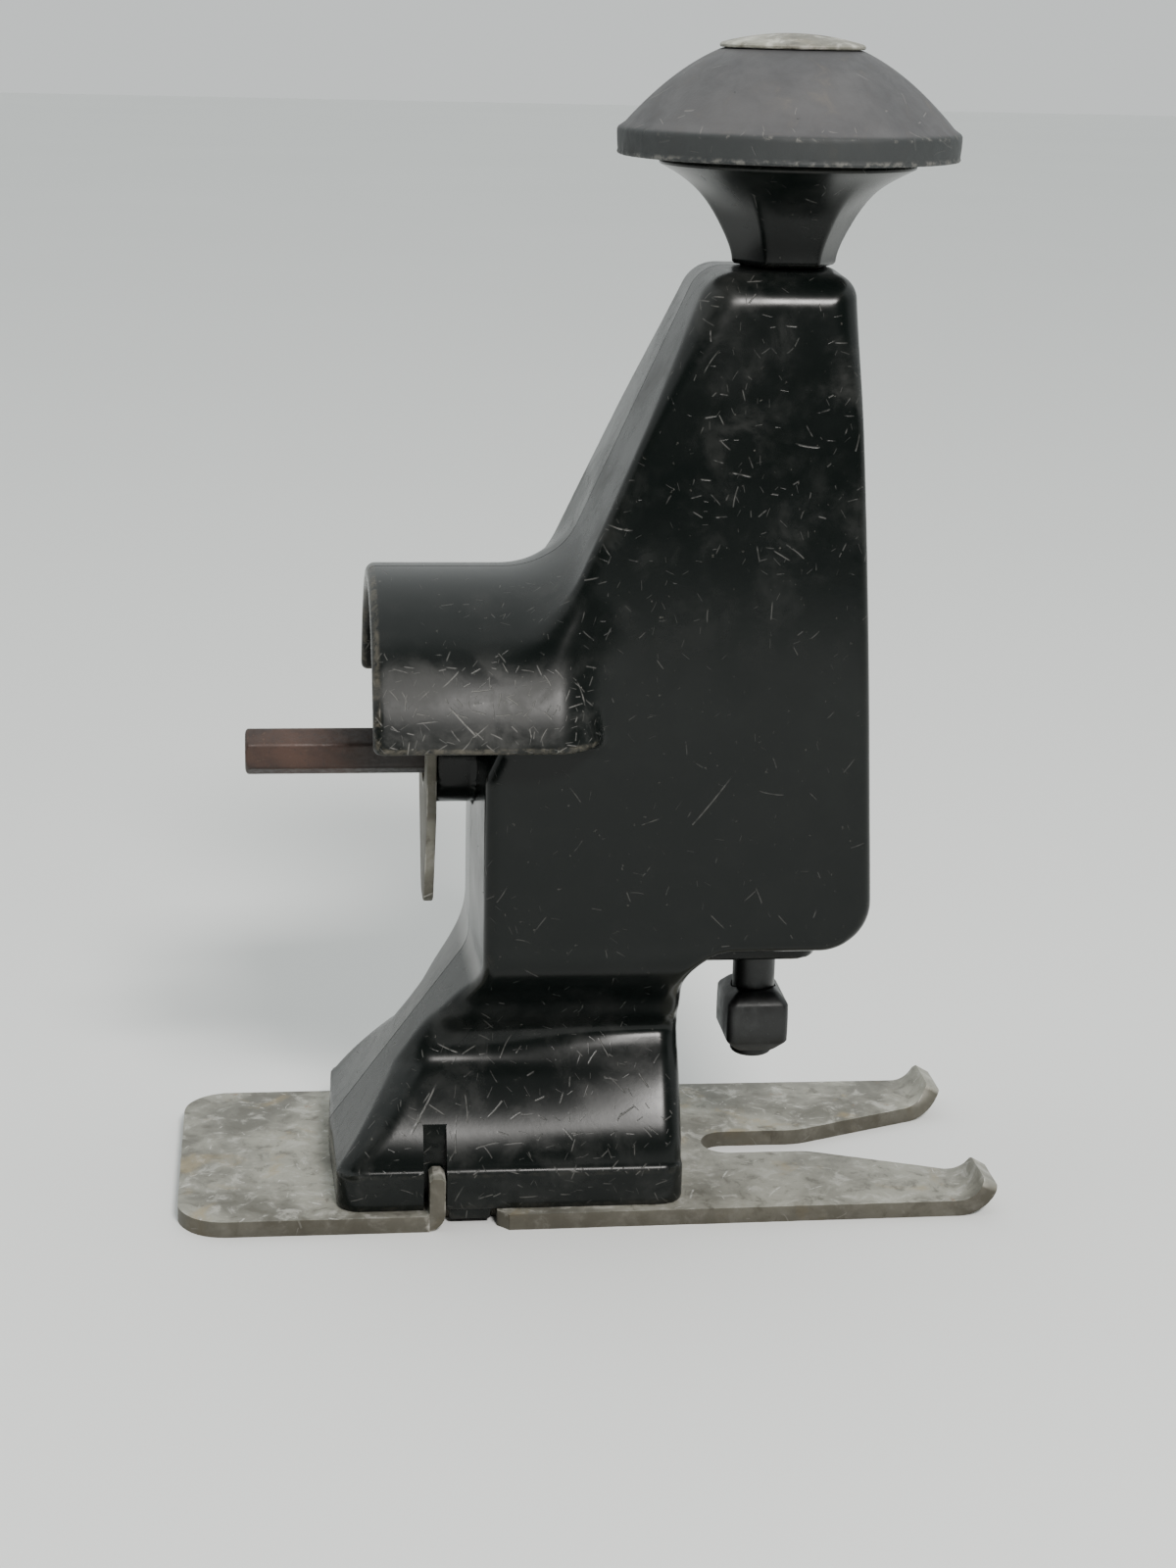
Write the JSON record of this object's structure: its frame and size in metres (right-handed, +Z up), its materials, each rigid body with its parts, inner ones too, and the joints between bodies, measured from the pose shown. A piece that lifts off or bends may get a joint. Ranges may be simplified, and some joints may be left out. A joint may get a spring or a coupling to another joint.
{
  "type": "shaft-driven sabre saw attachment",
  "caption": "Hand-held sabre saw attachment: moulded split housing on a forked steel sole, palm knob on top, hex drive shaft under a half-round hood, vertical plunger with a blade clamp.",
  "frame": {"origin": "centre of the bounding box at its lowest level, on the underside of the sole plate", "axes": "+Z up along the plunger and the knob, +X towards the fork of the sole plate, y = 0 is the seam between the housing halves"},
  "size_m": [0.16, 0.0706, 0.223],
  "materials": {
    "black_phenolic": "semi-gloss moulded plastic, scuffed and finely scratched",
    "charcoal_rubber": "matt, dusty, with small nicks",
    "zinc_plated_steel": "dull zinc plating with tan stains and rust specks",
    "rusted_steel": "brown rust, darker near the housing",
    "oiled_dark_steel": "dark, greasy steel",
    "ground_steel": "bright ground steel",
    "sintered_bronze": "porous bronze",
    "oiled_felt": "oil-soaked felt"
  },
  "bodies": {
    "housing": {"housing_near_half": "black_phenolic", "housing_far_half": "black_phenolic", "knob_stem": "black_phenolic", "knob_dome": "charcoal_rubber", "sole_plate": "zinc_plated_steel", "tongue_plate": "zinc_plated_steel", "tongue_screw_near": "zinc_plated_steel", "tongue_screw_far": "zinc_plated_steel", "knob_bolt": "zinc_plated_steel", "thrust_washer": "ground_steel", "bearing_spacer": "ground_steel", "knob_nut": "ground_steel", "knob_washer": "ground_steel", "housing_screw_1": "ground_steel", "housing_screw_2": "ground_steel", "housing_screw_3": "ground_steel", "housing_screw_4": "ground_steel", "housing_screw_5": "ground_steel", "rear_shaft_bush": "sintered_bronze", "front_shaft_bush": "sintered_bronze", "upper_rod_bush": "sintered_bronze", "lower_rod_bush": "sintered_bronze", "felt_wiper": "oiled_felt"},
    "drive": {"drive_shaft": "rusted_steel", "crank_disc": "oiled_dark_steel", "crank_pin": "ground_steel"},
    "roller": {"crank_roller": "ground_steel"},
    "plunger": {"plunger_rod": "oiled_dark_steel", "yoke": "oiled_dark_steel", "yoke_pin": "ground_steel", "blade_clamp": "oiled_dark_steel"},
    "clamp_screw": {"clamp_screw": "ground_steel"}
  },
  "joints": [
    {"name": "shaft_spin", "type": "hinge", "parent": "housing", "child": "drive", "pos_m": [0, 0, 0.0872], "axis": [1, 0, 0], "continuous": true},
    {"name": "roller_spin", "type": "hinge", "parent": "drive", "child": "roller", "pos_m": [0.017, 0.00635, 0.0872], "axis": [1, 0, 0], "continuous": true},
    {"name": "plunger_stroke", "type": "slide", "parent": "housing", "child": "plunger", "axis": [0, 0, 1], "range_m": [-0.00635, 0.00635]},
    {"name": "clamp_screw_turn", "type": "hinge", "parent": "plunger", "child": "clamp_screw", "pos_m": [0.035, 0.008, 0.0315], "axis": [0, 1, 0], "range_deg": [0, 360]}
  ]
}
